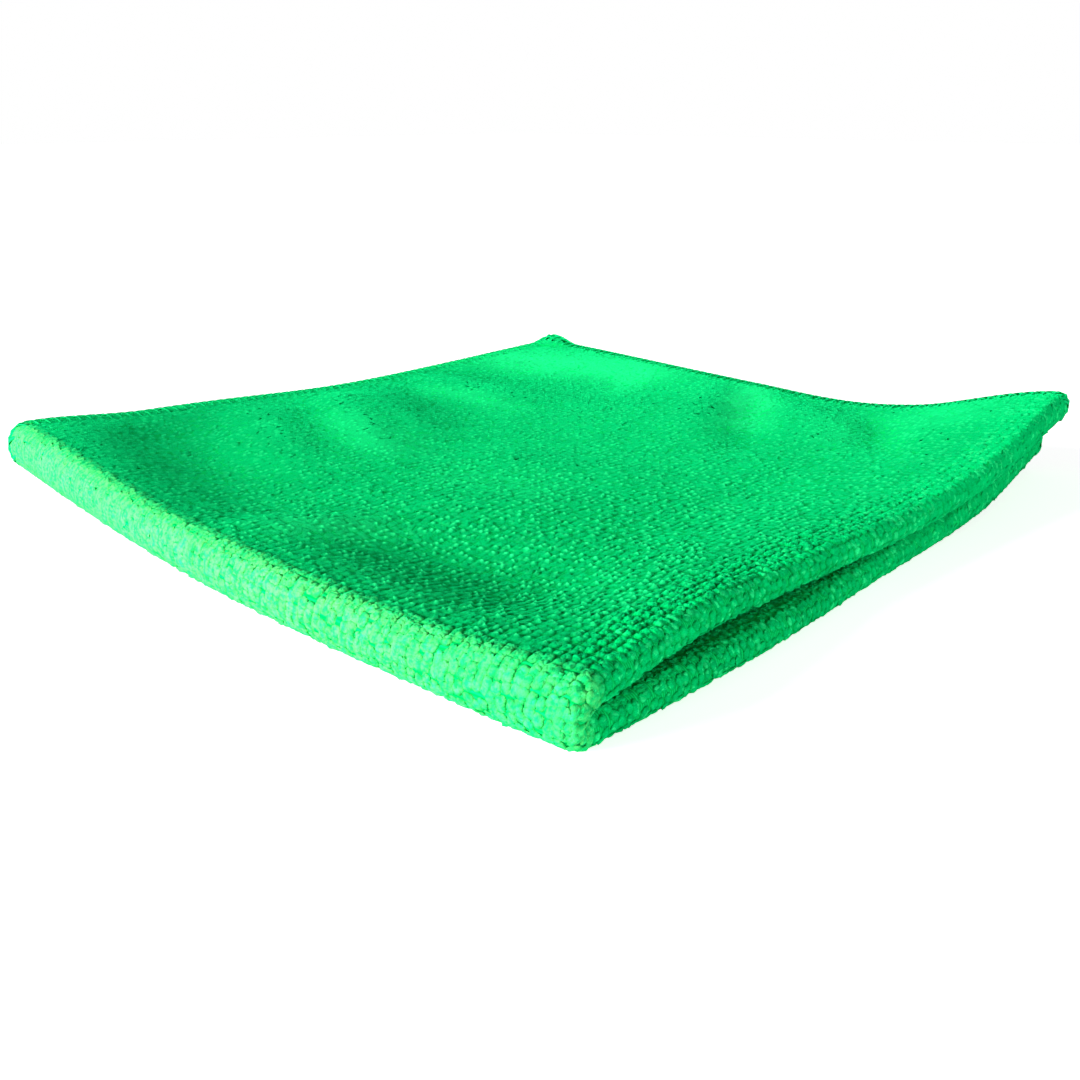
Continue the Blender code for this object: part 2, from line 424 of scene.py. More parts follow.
# %% Places on the folded cloth
HAIR = 0.05 * MM
cloth_offset = np.zeros(3)


def middle_of_cloth(u, v):
    return np.stack(make_uneven(*fold_cloth(u, v)), axis=-1) + cloth_offset


def unit(vectors):
    return vectors / np.linalg.norm(vectors, axis=-1, keepdims=True)


def place_on_cloth(u, v):
    """The middle of the cloth at (u, v), and the unit directions across, along and out."""
    across = unit(middle_of_cloth(u + HAIR, v) - middle_of_cloth(u - HAIR, v))
    along = unit(middle_of_cloth(u, v + HAIR) - middle_of_cloth(u, v - HAIR))
    out = unit(np.cross(along, across))
    return middle_of_cloth(u, v), across, along, out


def cuts(fold, lower_length, upper_length, bend_cells, flat_cells):
    """Grid lines across one crease: even round the bend, and even on towards both hems."""
    quarter_turn = pi / 2 * fold.radius
    bend_cuts = np.linspace(-quarter_turn, quarter_turn, bend_cells + 1)
    share = np.arange(1, flat_cells + 1) / flat_cells
    lower = -(quarter_turn + (lower_length - quarter_turn) * share[::-1])
    upper = quarter_turn + (upper_length - quarter_turn) * share
    return np.concatenate([lower, bend_cuts, upper])


FLAT_CELLS = 58                 # grid cells from a bend to a hem
FIRST_BEND_CELLS = 16
SECOND_BEND_CELLS = 24
GROUND_U = cuts(FIRST, INNER_LENGTH, OUTER_LENGTH, FIRST_BEND_CELLS, FLAT_CELLS)
GROUND_V = cuts(SECOND, LOWER_WIDTH, UPPER_WIDTH, SECOND_BEND_CELLS, FLAT_CELLS)
grid_u, grid_v = np.meshgrid(GROUND_U, GROUND_V, indexing="ij")

middle, _, _, out = place_on_cloth(grid_u, grid_v)
skins = np.concatenate([middle + out * THICKNESS / 2, middle - out * THICKNESS / 2])
low, high = skins.min(axis=(0, 1)), skins.max(axis=(0, 1))
box_low, box_high = (np.array(corner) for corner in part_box("folded_cloth"))
cloth_offset = (box_low + box_high - low - high) / 2
cloth_offset[2] = box_low[2] - low[2]
print("cloth moved by", np.round(cloth_offset / MM, 2), "mm to the solid's box")

# %% [markdown]
# ## The ground of the knit
#
# Under the loops there is a thin dense ground, which shows dark between them. It is the
# sheet itself: a fine grid on the folds, with Solidify for its thickness. It is thinner
# than the cloth, because the loops on its face make up the rest. Two attributes go with
# each point: the painted light and shade of the patches, and how calm the pile lies there.

# %% The knitted ground
GROUND_THICKNESS = 0.92 * MM


def painted_patches_at(x, y):
    """0 where shade is painted on the pile, 0.5 where nothing is painted, 1 where light is painted."""
    return 0.5 + 0.5 * sum(patch.lighter * soft_oval(patch, x, y) for patch in PAINTED_PATCHES)


def calm_at(u, v):
    """0 at the front corner, 1 where the pile lies calm."""
    return smooth((np.hypot(u, v) - CALM_START) / CALM_REACH)


def mesh_object(name, points, faces):
    mesh = bpy.data.meshes.new(name)
    mesh.from_pydata(points.reshape(-1, 3).tolist(), [], faces)
    thing = bpy.data.objects.new(name, mesh)
    bpy.context.collection.objects.link(thing)
    return thing


def only(thing):
    """Selects one object and nothing else."""
    bpy.ops.object.select_all(action="DESELECT")
    thing.select_set(True)
    bpy.context.view_layer.objects.active = thing


def grid_faces(rows, columns):
    r, c = np.meshgrid(np.arange(rows - 1), np.arange(columns - 1), indexing="ij")
    first = (r * columns + c).ravel()
    return np.stack([first, first + 1, first + columns + 1, first + columns], axis=1).tolist()


middle = middle_of_cloth(grid_u, grid_v)
ground = mesh_object("knit_ground", middle, grid_faces(*grid_u.shape))

layout = ground.data.uv_layers.new(name="flat_cloth")
corner_index = np.empty(len(ground.data.loops), dtype=int)
ground.data.loops.foreach_get("vertex_index", corner_index)
flat_places = np.stack([grid_u.ravel(), grid_v.ravel()], axis=1)[corner_index]
layout.data.foreach_set("uv", flat_places.ravel())

only(ground)
wall = ground.modifiers.new("thickness", "SOLIDIFY")
wall.thickness = GROUND_THICKNESS
wall.offset = 0.0
bpy.ops.object.modifier_apply(modifier=wall.name)
ground.data.shade_smooth()
# the ground takes the same painted light and shade of the patches as the pile over it
ground_painted_light = painted_patches_at(middle[..., 0], middle[..., 1])
for column, values in (("painted_light", ground_painted_light), ("calm", calm_at(grid_u, grid_v))):
    attribute = ground.data.attributes.new(column, "FLOAT", "POINT")
    attribute.data.foreach_set("value", np.tile(values.ravel(), 2))
print("knitted ground:", len(ground.data.polygons), "faces")

# %% [markdown]
# ## One puff of pile
#
# Each stitch of the knit stands up as a small flattened puff of fibre, wide enough to
# touch its neighbours, so that only dark slits part them. It is modelled once, from a
# plane in sixteen cells, with its crown raised and spread and its rim closed below. A
# plainer one, from a cube, is for the side that lies on the table. Both stay small,
# because there are thousands of them.

# %% Puffs
WALE_PITCH = 1.85 * MM          # across: from one rope of stitches to the next
COURSE_PITCH = 1.85 * MM        # along: from one stitch to the next
PUFF_FOOT = 0.44 * MM           # its rim lies this far above the middle of the cloth
PUFF_TOP = 0.86 * MM            # its crown stands this far above the middle of the cloth
SHOULDER = 0.74                 # the shoulder's share of the height
SHOULDER_SPREAD = 1.26          # and how far it leans out over the foot
ROUNDED = 0.78                  # the corners are drawn in to this share
PLAIN_CROWN = 0.72              # the width of the plainer puff's crown


def select_points(thing, rule):
    """Selects the points that meet a rule, out of edit mode and back into it."""
    bpy.ops.mesh.select_mode(type="VERT")
    bpy.ops.mesh.select_all(action="DESELECT")
    bpy.ops.object.mode_set(mode="OBJECT")
    for point in thing.data.vertices:
        point.select = rule(point.co)
    bpy.ops.object.mode_set(mode="EDIT")


bpy.ops.object.select_all(action="DESELECT")
bpy.ops.mesh.primitive_plane_add(size=1)
puff = bpy.context.object
puff.name = "puff"
bpy.ops.object.mode_set(mode="EDIT")
bpy.ops.mesh.subdivide(number_cuts=3)
select_points(puff, lambda p: max(abs(p.x), abs(p.y)) < 0.4)
bpy.ops.transform.translate(value=(0, 0, SHOULDER))
bpy.ops.transform.resize(value=(SHOULDER_SPREAD, SHOULDER_SPREAD, 1))
select_points(puff, lambda p: max(abs(p.x), abs(p.y)) < 0.1)
bpy.ops.transform.translate(value=(0, 0, 1 - SHOULDER))
select_points(puff, lambda p: abs(p.x) > 0.3 and abs(p.y) > 0.3 and abs(abs(p.x) - abs(p.y)) < 0.05)
bpy.ops.transform.resize(value=(ROUNDED, ROUNDED, 1))
select_points(puff, lambda p: p.z < 0.1)
bpy.ops.mesh.edge_face_add()
bpy.ops.mesh.select_all(action="SELECT")
bpy.ops.mesh.normals_make_consistent(inside=False)
bpy.ops.object.mode_set(mode="OBJECT")

bpy.ops.object.select_all(action="DESELECT")
bpy.ops.mesh.primitive_cube_add(size=1, location=(0, 0, 0.5))
plain_puff = bpy.context.object
plain_puff.name = "plain_puff"
bpy.ops.object.transform_apply(location=True)
bpy.ops.object.mode_set(mode="EDIT")
select_points(plain_puff, lambda p: p.z > 0.5)
bpy.ops.transform.resize(value=(PLAIN_CROWN, PLAIN_CROWN, 1))
bpy.ops.object.mode_set(mode="OBJECT")
for thing in (puff, plain_puff):
    print(thing.name, "has", len(thing.data.vertices), "points and", len(thing.data.polygons), "faces")

# %% [markdown]
# ## The knit, laid flat and folded
#
# The stitches stand evenly on the face of the folded cloth. Two Array modifiers repeat
# the puff over a flat panel, as on the machine, and each puff is then carried to its place
# on the folds. No two are alike: each is turned, tipped and sized by chance, and each
# point of it is pushed a little, so that it reads as a crushed lock of fibre. Round the
# folds the ropes part, and the ground shows between them.

# %% Stitch places
NEUTRAL_RISE = 0.6 * MM         # the stitches keep their distance at this height
INSIDE_REACH = 16 * MM          # how far the pile is made into the slit between the pairs
HEM_MARGIN = 1.2 * MM
MEASURED_AT_U = 40 * MM         # courses are spaced out along this line, and wales along the next
MEASURED_AT_V = 90 * MM
WALKING_STEP = 0.1 * MM


def even_places(start, end, pitch, face_at):
    """Flat places whose distance, measured on the face of the folded cloth, is even."""
    fine = np.arange(start, end, WALKING_STEP)
    steps = np.linalg.norm(np.diff(face_at(fine), axis=0), axis=1)
    walked = np.concatenate([[0], np.cumsum(steps)])
    count = int(round(walked[-1] / pitch))
    return np.interp((np.arange(count) + 0.5) * walked[-1] / count, walked, fine)


def face(u, v):
    middle, _, _, out = place_on_cloth(u, v)
    return middle + out * NEUTRAL_RISE


WALES = even_places(
    -INSIDE_REACH,
    OUTER_LENGTH - HEM_MARGIN,
    WALE_PITCH,
    lambda u: face(u, np.full_like(u, MEASURED_AT_V)),
)
COURSES = even_places(
    HEM_MARGIN - LOWER_WIDTH,
    UPPER_WIDTH - HEM_MARGIN,
    COURSE_PITCH,
    lambda v: face(np.full_like(v, MEASURED_AT_U), v),
)
print(len(WALES), "wales and", len(COURSES), "courses")

# %% [markdown]
# ## How the pile lies
#
# Pile isn't the same everywhere. Round the creases it stands open and the ropes part. On
# the flats it is pressed, and in the slit between the pairs it is pressed smooth. Away
# from the front corner it lies calmer: broader, lower puffs that run together. Each of
# these is a share from 0 to 1 for every stitch, worked out from its place.

# %% How the pile lies
HEM_WIDTH = 5 * MM
FOLD_HIGHLIGHT_REACH = 6.5 * MM           # a lighter highlight is painted this far round the outside of the second crease
FOLD_HIGHLIGHT_START = 60 * MM            # and less than that this near the front corner
FRONT_HIGHLIGHT_SHARE = 0.45               # the share of that painted highlight that is left at the corner
BEND_REACH = 8 * MM             # the pile stands open, this far round the second crease
NOSE_REACH = 15 * MM            # and this far round the first, where the ropes part
SLIT_START = 1.5 * MM           # this far inside the first crease the pile starts to be pressed
SLIT_REACH = 5 * MM             # and it is pressed flat after this much more
DRIFT = 0.3 * MM                # the rows wander this far to each side, in slow waves
ASTRAY_ACROSS = 0.13            # and each stitch is off its place by about this share of a pitch
ASTRAY_ALONG = 0.15
chance = np.random.default_rng(12)
stitches = (len(COURSES), len(WALES))


def spread(amount, mean=0.0):
    """One chance value for each stitch, seldom more than twice the amount from the mean."""
    return mean + amount * np.clip(chance.normal(size=stitches), -2.2, 2.2)


stitch_v, stitch_u = np.meshgrid(COURSES, WALES, indexing="ij")
drift_u = DRIFT * np.sin(stitch_v / (21 * MM) + 1.3 * np.sin(stitch_u / (47 * MM)))
drift_v = DRIFT * np.sin(stitch_u / (17 * MM) + 1.7 * np.sin(stitch_v / (39 * MM)))
stitch_u, stitch_v = stitch_u + drift_u, stitch_v + drift_v
ropes = face(stitch_u, stitch_v)
rope_gap = np.linalg.norm(np.gradient(ropes, axis=1), axis=-1)
stitch_gap = np.linalg.norm(np.gradient(ropes, axis=0), axis=-1)
stitch_u = stitch_u + spread(ASTRAY_ACROSS) * WALE_PITCH
stitch_v = stitch_v + spread(ASTRAY_ALONG) * COURSE_PITCH

wrap_open = smooth(2 - 2 * np.abs(stitch_v) / BEND_REACH)
nose_open = smooth(2 - 2 * np.abs(stitch_u) / NOSE_REACH) * (1 - wrap_open)
puff_open = np.maximum(wrap_open, nose_open)
puff_calm = calm_at(stitch_u, stitch_v)
in_slit = smooth((-stitch_u - SLIT_START) / SLIT_REACH)
to_hem = np.minimum(OUTER_LENGTH - stitch_u, UPPER_WIDTH - np.abs(stitch_v))
places = middle_of_cloth(stitch_u, stitch_v)
# painted light and shade of the patches, for each stitch
puff_painted_light = painted_patches_at(places[..., 0], places[..., 1])
# painted highlight along the outside of the second crease, fainter near the front corner
near_front = between(smooth(stitch_u / FOLD_HIGHLIGHT_START), FRONT_HIGHLIGHT_SHARE, 1)
puff_fold_highlight = smooth(2 - 2 * np.abs(stitch_v) / FOLD_HIGHLIGHT_REACH) * near_front
print("pile stands open on", round(100 * puff_open.mean()), "% of the stitches")

# %% [markdown]
# ## The size and the set of each puff
#
# Chance values are drawn once for the whole cloth, one set for each stitch, before the
# panels take their share. Some puffs on the flats also have a tip that stands up and
# catches the light.

# %% Puff by puff
PUFF_FILL = 1.24                # a puff is this much wider than its room, so that it overlaps
SIZE_SPREAD = 0.11
NOSE_WIDTH = 0.86               # but smaller, by these shares, round the first crease
NOSE_LENGTH = 0.84
CALM_FILL = 1.2                 # and broader where the pile lies calm
FLAT_RELIEF = 0.42              # where the cloth lies flat the pile is pressed to this share
HEM_RELIEF = 0.6                # and to these shares of that at the hem,
CALM_RELIEF = 0.55              # where the pile is calm,
SLIT_RELIEF = 0.3               # and in the slit between the pairs
SOFT_SHADING = 0.40             # how much of a puff's own form shows in its shading, lying flat
OPEN_SHADING = 0.58             # and round the creases
CALM_SHADING = 0.35             # shares of that where the pile is calm, and in the slit
SLIT_SHADING = 0.4
TUFT_SHARE = 0.44               # of the puffs lying flat, this share has a standing tip
TUFT_HEIGHT = 0.34 * MM
CALM_TIPS = 0.5                 # where the pile is calm the tips are this share as strong

puff_width = between(0.9, WALE_PITCH, rope_gap) * spread(SIZE_SPREAD, PUFF_FILL)
puff_width = puff_width * between(nose_open, 1, NOSE_WIDTH) * between(puff_calm, 1, CALM_FILL)
puff_length = between(0.95, COURSE_PITCH, stitch_gap) * spread(SIZE_SPREAD, PUFF_FILL)
puff_length = puff_length * between(nose_open, 1, NOSE_LENGTH) * between(puff_calm, 1, CALM_FILL)
puff_turn = spread(0.20, 0.10) - 0.5 * nose_open
puff_tip_u, puff_tip_v, puff_lean = spread(0.10), spread(0.10), spread(0.10, 0.12)
pressed = between(puff_open, FLAT_RELIEF, 1) * between(smooth(to_hem / HEM_WIDTH), HEM_RELIEF, 1)
pressed = pressed * between(puff_calm, 1, CALM_RELIEF)
pressed = pressed * between(in_slit, 1, SLIT_RELIEF)
puff_height = (PUFF_TOP - PUFF_FOOT) * spread(0.09, 1.0) * pressed
puff_tone = chance.random(stitches)
tuft_stands = (chance.random(stitches) < TUFT_SHARE) * (1 - puff_open) * between(puff_calm, 1, CALM_TIPS)
tuft_height = TUFT_HEIGHT * tuft_stands * (0.5 + chance.random(stitches))
shading_share = between(puff_open, SOFT_SHADING, OPEN_SHADING) * between(puff_calm, 1, CALM_SHADING)
shading_share = shading_share * between(in_slit, 1, SLIT_SHADING)
print("tips stand on", round(100 * (tuft_stands > 0).mean()), "% of the puffs")

# %% [markdown]
# ## Panels of stitches
#
# A panel is a block of courses and wales, so that each mesh stays light enough to reuse.
# Its points are moved in whole arrays: first each puff is crushed a little by chance, then
# sized, turned and tipped, then set on the folds. Its shading is softened towards that of
# the sheet, because fibre scatters light too evenly for small forms to show sharply.

# %% Knit panels
CRUSHED = (0.05, 0.05, 0.2)     # how much a point is pushed by chance, as a share of its height


def knit_panel(name, pattern, rows, columns):
    """A block of stitches: puffs arrayed flat, then carried to their places on the folds."""
    block = (slice(*rows), slice(*columns))
    count = puff_tone[block].shape
    panel = pattern.copy()
    panel.data = pattern.data.copy()
    panel.name = panel.data.name = name
    bpy.context.collection.objects.link(panel)
    only(panel)
    for offset, repeats in (((2, 0, 0), count[1]), ((0, 2, 0), count[0])):
        row = panel.modifiers.new("row", "ARRAY")
        row.use_relative_offset = False
        row.use_constant_offset = True
        row.constant_offset_displace = offset
        row.count = repeats
        bpy.ops.object.modifier_apply(modifier=row.name)

    mesh = panel.data
    points = np.empty(len(mesh.vertices) * 3)
    mesh.vertices.foreach_get("co", points)
    shape = points.reshape(*count, -1, 3)[0, 0]
    crushed = chance.normal(size=(*count, *shape.shape)) * shape[:, 2:] * CRUSHED
    local = shape + np.clip(crushed, -0.4, 0.4)

    def each(values):
        return values[block][..., None]

    across_puff, along_puff, raised = local[..., 0], local[..., 1], local[..., 2]
    cos, sin = np.cos(each(puff_turn)), np.sin(each(puff_turn))
    a = (across_puff * cos - along_puff * sin) * each(puff_width)
    b = (across_puff * sin + along_puff * cos + raised * each(puff_lean)) * each(puff_length)
    tipped = raised * (each(puff_height) + a * each(puff_tip_u) + b * each(puff_tip_v))
    middle, across, along, out = place_on_cloth(stitch_u[block], stitch_v[block])
    placed = middle[..., None, :] + a[..., None] * across[..., None, :] + b[..., None] * along[..., None, :]
    placed = placed + (PUFF_FOOT + tipped)[..., None] * out[..., None, :]
    # the tip attribute marks where a painted highlight goes, on the raised centre of a tuft
    tip = np.zeros(local.shape[:-1])
    if pattern is puff:
        centre = int(np.argmax(shape[:, 2]))
        tip[..., centre] = tuft_stands[block]
        placed[..., centre, :] += tuft_height[block][..., None] * out
    placed[..., 2] = np.maximum(placed[..., 2], box_low[2])
    mesh.vertices.foreach_set("co", placed.ravel())
    mesh.flip_normals()             # across, along and out are a left-handed set
    mesh.update()
    mesh.shade_smooth()

    own = np.empty(len(mesh.vertices) * 3)
    mesh.vertex_normals.foreach_get("vector", own)
    own = own.reshape(placed.shape)
    own_share = each(shading_share)[..., None]
    shading = unit(between(own_share, np.broadcast_to(out[..., None, :], own.shape), own))
    mesh.normals_split_custom_set_from_vertices(shading.reshape(-1, 3))

    whole = placed.shape[:3]
    for column, values in (
        ("crown", raised), ("tone", each(puff_tone)), ("fold_highlight", each(puff_fold_highlight)),
        ("open", each(puff_open)), ("calm", each(puff_calm)), ("painted_light", each(puff_painted_light)),
        ("tip", tip),
    ):
        attribute = mesh.attributes.new(column, "FLOAT", "POINT")
        attribute.data.foreach_set("value", np.broadcast_to(values, whole).ravel())
    flat = np.stack([each(stitch_u) + a, each(stitch_v) + b], axis=-1).reshape(-1, 2)
    corner_index = np.empty(len(mesh.loops), dtype=int)
    mesh.loops.foreach_get("vertex_index", corner_index)
    layout = mesh.uv_layers.new(name="flat_cloth") if not mesh.uv_layers else mesh.uv_layers[0]
    layout.name = "flat_cloth"
    layout.data.foreach_set("uv", flat[corner_index].ravel())
    print(name, "has", count[0] * count[1], "stitches and", len(mesh.polygons), "faces")
    return panel


WRAP_COURSES = 9                # courses below the middle of the second crease that show in full
NOSE_SHOWN = 12 * MM            # and so do the wales up to here on the lower pair

first_upper = int(np.searchsorted(COURSES, 0))
last = len(COURSES)
third = (last - first_upper + 2) // 3
wrap = first_upper - WRAP_COURSES
nose = int(np.searchsorted(WALES, NOSE_SHOWN))
panels = [
    knit_panel("pile_top_front", puff, (first_upper, first_upper + third), (0, None)),
    knit_panel("pile_top_middle", puff, (first_upper + third, first_upper + 2 * third), (0, None)),
    knit_panel("pile_top_back", puff, (first_upper + 2 * third, last), (0, None)),
    knit_panel("pile_lower_wrap", puff, (wrap, first_upper), (0, None)),
    knit_panel("pile_lower_nose", puff, (0, wrap), (0, nose)),
    knit_panel("pile_under", plain_puff, (0, wrap), (nose, None)),
]
for pattern in (puff, plain_puff):
    bpy.data.objects.remove(pattern)

# %% [markdown]
# ## The overlocked hem
#
# The cut edge is bound all round with overlock thread. Slanted loops reach over the edge
# and down both faces, and their knots lie close together along the rim. One stitch, a
# flattened ring and its knot, is modelled once and arrayed in a straight row as long as a
# side. The row is then carried to its place on the folds, like the pile.

# %% Hem
HEM_PITCH = 2.8 * MM            # from one hem stitch to the next
HEM_DEPTH = 4.4 * MM            # how far the loops reach in from the edge
HEM_HEIGHT = 2.0 * MM           # through both faces
LOOP_WIDTH = 5 * MM             # a loop's thread, measured along the edge, is a seventh of this
HEM_SLANT = 0.35                # how far a stitch leans along the edge for each step inward
KNOT_SIZE = (1.3 * MM, 5.6 * MM, 1.8 * MM)
HEM_INSET = (KNOT_SIZE[1] - HEM_PITCH) / 2      # so that the end knots stop at the corner
CORNER_SHARE = 0.4              # a corner's own knot has this share of the length

bpy.ops.object.select_all(action="DESELECT")
bpy.ops.mesh.primitive_torus_add(
    major_segments=12, minor_segments=4, major_radius=0.5, minor_radius=0.07
)
loop = bpy.context.object
bpy.ops.object.mode_set(mode="EDIT")
bpy.ops.mesh.select_all(action="SELECT")
bpy.ops.transform.rotate(value=pi / 2, orient_axis="X", center_override=(0, 0, 0))
bpy.ops.transform.resize(value=(HEM_DEPTH, LOOP_WIDTH, HEM_HEIGHT))
bpy.ops.transform.translate(value=(HEM_DEPTH / 2, 0, 0))
bpy.ops.object.mode_set(mode="OBJECT")

bpy.ops.object.select_all(action="DESELECT")
bpy.ops.mesh.primitive_uv_sphere_add(segments=8, ring_count=5, radius=0.5)
knot = bpy.context.object
bpy.ops.object.mode_set(mode="EDIT")
bpy.ops.mesh.select_all(action="SELECT")
bpy.ops.transform.rotate(value=pi / 2, orient_axis="X", center_override=(0, 0, 0))
bpy.ops.transform.resize(value=KNOT_SIZE)
bpy.ops.object.mode_set(mode="OBJECT")
corner_knot = knot.copy()
corner_knot.data = knot.data.copy()
bpy.context.collection.objects.link(corner_knot)
only(corner_knot)
bpy.ops.object.mode_set(mode="EDIT")
bpy.ops.mesh.select_all(action="SELECT")
bpy.ops.transform.resize(value=(1, CORNER_SHARE, 1))
bpy.ops.object.mode_set(mode="OBJECT")

only(knot)
loop.select_set(True)
bpy.ops.object.join()
hem_stitch = knot
hem_stitch.name = "hem_stitch"
print("hem_stitch has", len(hem_stitch.data.polygons), "faces")


def carry(thing, flat_place):
    """Moves every point of a flat piece to its place on the folds."""
    mesh = thing.data
    points = np.empty(len(mesh.vertices) * 3)
    mesh.vertices.foreach_get("co", points)
    inward, run, raised = points.reshape(-1, 3).T
    middle, _, _, out = place_on_cloth(*flat_place(inward, run))
    placed = middle + raised[:, None] * out
    placed[:, 2] = np.maximum(placed[:, 2], box_low[2])
    mesh.vertices.foreach_set("co", placed.ravel())
    mesh.update()
    only(thing)
    bpy.ops.object.mode_set(mode="EDIT")
    bpy.ops.mesh.select_all(action="SELECT")
    bpy.ops.mesh.normals_make_consistent(inside=False)
    bpy.ops.object.mode_set(mode="OBJECT")
    mesh.shade_smooth()


def hem(name, start, end, flat_place):
    """A row of stitches along one side, from start to end."""
    start, end = start + HEM_INSET, end - HEM_INSET
    count = int(round((end - start) / HEM_PITCH))
    pitch = (end - start) / count
    row = hem_stitch.copy()
    row.data = hem_stitch.data.copy()
    row.name = row.data.name = name
    bpy.context.collection.objects.link(row)
    only(row)
    repeat = row.modifiers.new("row", "ARRAY")
    repeat.use_relative_offset = False
    repeat.use_constant_offset = True
    repeat.constant_offset_displace = (0, pitch, 0)
    repeat.count = count
    bpy.ops.object.modifier_apply(modifier=repeat.name)

    def slanted(inward, run):
        return flat_place(inward, start + pitch / 2 + run + HEM_SLANT * (inward - HEM_DEPTH / 2))

    carry(row, slanted)
    print(name, "has", count, "stitches")
    return row


hems = [
    hem("hem_outer_left", -LOWER_WIDTH, UPPER_WIDTH, lambda d, run: (OUTER_LENGTH - d, run)),
    hem("hem_inner_left", -LOWER_WIDTH, UPPER_WIDTH, lambda d, run: (d - INNER_LENGTH, run)),
    hem("hem_upper_back", -INNER_LENGTH, OUTER_LENGTH, lambda d, run: (run, UPPER_WIDTH - d)),
    hem("hem_lower_back", -INNER_LENGTH, OUTER_LENGTH, lambda d, run: (run, d - LOWER_WIDTH)),
]
bpy.data.objects.remove(hem_stitch)

# %% [markdown]
# ## The four corners of the hem
#
# Where two rows of overlock meet, the thread bunches up and covers the corner of the
# square. One short knot at each corner stands for that. It is the rim's own knot, copied
# and made shorter, and the four are joined, because they are one kind of thing.

# %% Hem corners
knots = []
for corner_u, corner_v in (
    (OUTER_LENGTH, UPPER_WIDTH), (OUTER_LENGTH, -LOWER_WIDTH),
    (-INNER_LENGTH, UPPER_WIDTH), (-INNER_LENGTH, -LOWER_WIDTH),
):
    knots.append(corner_knot.copy())
    knots[-1].data = corner_knot.data.copy()
    bpy.context.collection.objects.link(knots[-1])
    carry(knots[-1], lambda d, run: (corner_u + d, corner_v + run))
only(knots[0])
for knot in knots:
    knot.select_set(True)
bpy.ops.object.join()
hem_corners = bpy.context.object
hem_corners.name = hem_corners.data.name = "hem_corners"
hems.append(hem_corners)
bpy.data.objects.remove(corner_knot)
print("hem_corners has", len(knots), "knots and", len(hem_corners.data.polygons), "faces")

# %% [markdown]
# ## Microfibre, brushed into loops
#
# Polyester and polyamide filaments, a tenth as thick as a hair, knitted and split. They
# scatter light very evenly, so the cloth is matt and glows at its edges, which is the
# sheen. Shade is painted on as a deeper green at the foot of each loop, where light bounces
# many times, and the crowns are lighter. The colour could be one flat green, but then the
# cloth looks like plastic: each stitch gets a tone of its own, and painted light and shade
# are mixed in from what the mesh knows about each point: the patches, highlights on tips
# and flakes, and a highlight along the outside of the second crease.

# %% Fibre sizes and colours
FIBRE_ACROSS = 0.16 * MM        # a lock of filaments; one filament is far finer
FIBRE_ALONG = 0.60 * MM
FLAKE = 0.90 * MM               # a crushed tuft, of which each puff has a few
MOTTLE = 1.1 * MM               # light and dark lumps in the painted highlight along the second crease
CLOUD = 9 * MM                  # faint clouds over the whole cloth
TICK_PITCH = 0.52 * MM          # the ground's own small stitches
# painted shade: the green at the foot of each puff, where light bounces between the loops
FOOT_SHADE_GREEN = linear("#009E46")
PALE_GREEN = linear("#02C268")
HIGHLIGHT_GREEN = linear("#30F892")   # painted highlight on crown flakes, tips that stand up, and light patches
FOLD_HIGHLIGHT_GREEN = linear("#60E074")  # painted highlight along the outside of the second crease, which faces the lamp
PAINTED_SHADE_GAIN = 0.55                 # painted shade: the share of the pile's colour where a patch is dark
PAINTED_LIGHT_GAIN = 1.45                # painted light: and where a patch is light

# %% Pile: what each point knows, and the patterns on it
pile, tree, surface = new_material("microfibre_pile")
flat = add(tree, "ShaderNodeUVMap", {"uv_map": "flat_cloth"})
crown = add(tree, "ShaderNodeAttribute", {"attribute_name": "crown"})
tone = add(tree, "ShaderNodeAttribute", {"attribute_name": "tone"})
fold_highlight = add(tree, "ShaderNodeAttribute", {"attribute_name": "fold_highlight"})
opened = add(tree, "ShaderNodeAttribute", {"attribute_name": "open"})
calm = add(tree, "ShaderNodeAttribute", {"attribute_name": "calm"})
painted_light = add(tree, "ShaderNodeAttribute", {"attribute_name": "painted_light"})
tip = add(tree, "ShaderNodeAttribute", {"attribute_name": "tip"})
stretch = add(
    tree,
    "ShaderNodeMapping",
    inputs={"Vector": flat.outputs["UV"], "Scale": (1 / FIBRE_ACROSS, 1 / FIBRE_ALONG, 1)},
)
locks = add(
    tree, "ShaderNodeTexNoise", inputs={"Vector": stretch.outputs["Vector"], "Scale": 1.0, "Detail": 3.0}
)
flakes = add(
    tree,
    "ShaderNodeTexVoronoi",
    {"feature": "F1"},
    {"Vector": flat.outputs["UV"], "Scale": 1 / FLAKE, "Randomness": 1.0},
)
clouds = add(
    tree, "ShaderNodeTexNoise", inputs={"Vector": flat.outputs["UV"], "Scale": 1 / CLOUD, "Detail": 2.0}
)
mottle = add(
    tree, "ShaderNodeTexNoise", inputs={"Vector": flat.outputs["UV"], "Scale": 1 / MOTTLE, "Detail": 2.0}
)

# %% [markdown]
# Green first: painted shade, a deeper green, at the foot of a puff, and a lighter green on
# its crown, with less of that shade where the pile lies calm.

# %% Pile: painted shade from foot to crown
unrest = add(tree, "ShaderNodeMapRange", inputs={"Value": calm.outputs["Fac"], "To Min": 1.0, "To Max": 0.3})
# painted shade: depth runs from the deeper green at a puff's foot (0) to its crown (1)
depth = add(
    tree,
    "ShaderNodeMapRange",
    inputs={"Value": crown.outputs["Fac"], "From Min": 0.0, "From Max": 0.9},
)
depth = add(tree, "ShaderNodeMix", inputs={0: unrest.outputs[0], 2: 0.8, 3: depth.outputs[0]})
green = add(
    tree,
    "ShaderNodeMix",
    {"data_type": "RGBA"},
    {0: depth.outputs[0], 6: FOOT_SHADE_GREEN, 7: PALE_GREEN},
)
